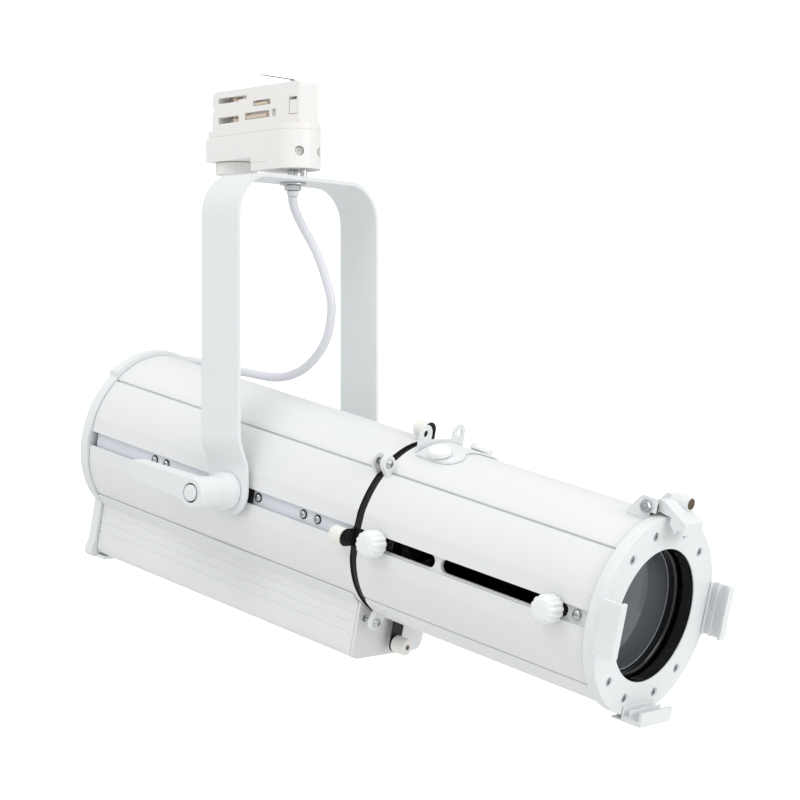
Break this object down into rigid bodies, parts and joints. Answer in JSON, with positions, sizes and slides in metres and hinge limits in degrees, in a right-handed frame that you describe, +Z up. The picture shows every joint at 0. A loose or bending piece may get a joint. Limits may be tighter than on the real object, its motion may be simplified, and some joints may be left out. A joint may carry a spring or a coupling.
{
  "type": "track-mounted ellipsoidal spotlight",
  "caption": "Profile spotlight on a track adapter: a yoke-held lamp tube with framing shutters, sliding focus and zoom lenses, a pattern holder and an accessory holder.",
  "frame": {"origin": "on the pan axis, in the top face of the track adapter, where it meets the track", "axes": "+Z up, out of the adapter into the track; +X is the beam's direction seen from above at rest; +Y is to its left"},
  "size_m": [0.5297, 0.1791, 0.4369],
  "materials": {
    "adapter_plastic": "satin",
    "aluminium": "satin",
    "black_metal": "satin",
    "cable_grey": "satin",
    "copper": "satin",
    "driver_plastic": "satin",
    "glass": "polished",
    "knob_cream": "satin",
    "knob_white": "satin",
    "mirror": "polished",
    "phosphor": "matte",
    "rail_grey": "satin",
    "steel": "satin",
    "white_powder": "matte"
  },
  "bodies": {
    "adapter": {"adapter_insert": "adapter_plastic", "adapter_housing": "adapter_plastic", "contact_mid_upper": "copper", "contact_mid_lower": "copper", "earth_strip": "steel", "friction_pin": "steel", "mounting_stem": "steel", "stem_washer": "steel", "stem_nut": "steel", "cable_bush": "cable_grey"},
    "selector": {"selector_dial": "adapter_plastic", "contact_spindle": "copper"},
    "latch_tab": {"latch_tab": "adapter_plastic"},
    "yoke": {"yoke": "white_powder", "power_cable": "cable_grey"},
    "clamp_lever": {"clamp_lever": "white_powder"},
    "shutter_near": {"shutter_near": "black_metal", "shutter_knob_near": "knob_cream"},
    "shutter_far": {"shutter_far": "black_metal", "shutter_knob_far": "knob_cream"},
    "shutter_top": {"shutter_top": "black_metal", "shutter_knob_top": "knob_cream"},
    "shutter_bottom": {"shutter_bottom": "black_metal", "shutter_knob_bottom": "knob_cream"},
    "focus_carriage": {"focus_carrier": "black_metal", "focus_lens": "glass"},
    "focus_knob": {"focus_knob": "knob_white"},
    "zoom_carriage": {"zoom_carrier": "black_metal", "zoom_lens": "glass"},
    "zoom_knob": {"zoom_knob": "knob_white"},
    "gobo_holder": {"gobo_holder": "white_powder"},
    "cover_screw_near": {"cover_screw_near": "knob_cream"},
    "cover_screw_far": {"cover_screw_far": "knob_cream"},
    "accessory_latch": {"accessory_latch": "white_powder"},
    "head": {"accessory_clip_bottom": "white_powder", "accessory_clip_far": "white_powder", "accessory_clip_near": "white_powder", "box_end_plate": "white_powder", "cable_gland": "cable_grey", "driver_box": "white_powder", "front_barrel": "white_powder", "front_ring": "white_powder", "gate_retainer": "black_metal", "gate_ring": "black_metal", "gobo_cover": "white_powder", "heat_sink": "aluminium", "latch_bracket": "white_powder", "latch_pin": "steel", "led_board": "aluminium", "led_driver": "driver_plastic", "led_emitter": "phosphor", "lower_shell": "white_powder", "pivot_bolt": "steel", "pivot_spacer_far": "steel", "pivot_spacer_near": "steel", "rear_cap": "white_powder", "reflector": "mirror", "side_rail_far": "rail_grey", "side_rail_near": "rail_grey", "upper_shell": "white_powder"}
  },
  "joints": [
    {"name": "pan", "type": "hinge", "parent": "adapter", "child": "yoke", "pos_m": [0, 0, -0.07], "axis": [0, 0, 1], "range_deg": [-175, 175]},
    {"name": "selector_turn", "type": "hinge", "parent": "adapter", "child": "selector", "pos_m": [-0.06166, 0.00648, -0.057], "axis": [0, 0, 1], "range_deg": [-90, 0]},
    {"name": "latch_press", "type": "slide", "parent": "adapter", "child": "latch_tab", "axis": [0.1045, 0.9945, 0], "range_m": [0, 0.0022], "stiffness_N_per_m": 250},
    {"name": "tilt", "type": "hinge", "parent": "yoke", "child": "head", "pos_m": [0, 0, -0.288], "axis": [0, 1, 0], "range_deg": [-58, 77], "deforming": ["power_cable"]},
    {"name": "clamp_turn", "type": "hinge", "parent": "head", "child": "clamp_lever", "pos_m": [0, -0.09, -0.288], "axis": [0, 1, 0], "range_deg": [-90, 90]},
    {"name": "shutter_near_slide", "type": "slide", "parent": "head", "child": "shutter_near", "axis": [0, -1, 0], "range_m": [0, 0.016]},
    {"name": "shutter_far_slide", "type": "slide", "parent": "head", "child": "shutter_far", "axis": [0, 1, 0], "range_m": [0, 0.016]},
    {"name": "shutter_top_slide", "type": "slide", "parent": "head", "child": "shutter_top", "axis": [0.225, 0, 0.9744], "range_m": [0, 0.014]},
    {"name": "shutter_bottom_slide", "type": "slide", "parent": "head", "child": "shutter_bottom", "axis": [-0.225, 0, -0.9744], "range_m": [-0.01, 0.008]},
    {"name": "focus_slide", "type": "slide", "parent": "head", "child": "focus_carriage", "axis": [0.9744, 0, -0.225], "range_m": [-0.003, 0.04]},
    {"name": "focus_knob_turn", "type": "hinge", "parent": "focus_carriage", "child": "focus_knob", "pos_m": [0.13057, -0.07, -0.31814], "axis": [0, 1, 0], "range_deg": [0, 360]},
    {"name": "zoom_slide", "type": "slide", "parent": "head", "child": "zoom_carriage", "axis": [0.9744, 0, -0.225], "range_m": [-0.088, 0.003]},
    {"name": "zoom_knob_turn", "type": "hinge", "parent": "zoom_carriage", "child": "zoom_knob", "pos_m": [0.2699, -0.07, -0.35031], "axis": [0, 1, 0], "range_deg": [0, 360]},
    {"name": "gobo_slide", "type": "slide", "parent": "head", "child": "gobo_holder", "axis": [0.225, 0, 0.9744], "range_m": [0, 0.065]},
    {"name": "cover_screw_near_turn", "type": "hinge", "parent": "head", "child": "cover_screw_near", "pos_m": [0.1513, -0.02301, -0.25944], "axis": [0.2108, -0.3486, 0.9133], "range_deg": [0, 360]},
    {"name": "cover_screw_far_turn", "type": "hinge", "parent": "head", "child": "cover_screw_far", "pos_m": [0.1513, 0.02301, -0.25944], "axis": [0.2108, 0.3486, 0.9133], "range_deg": [0, 360]},
    {"name": "accessory_latch_turn", "type": "hinge", "parent": "head", "child": "accessory_latch", "pos_m": [0.30821, 0, -0.28885], "axis": [0, 1, 0], "range_deg": [-100, 0]}
  ]
}
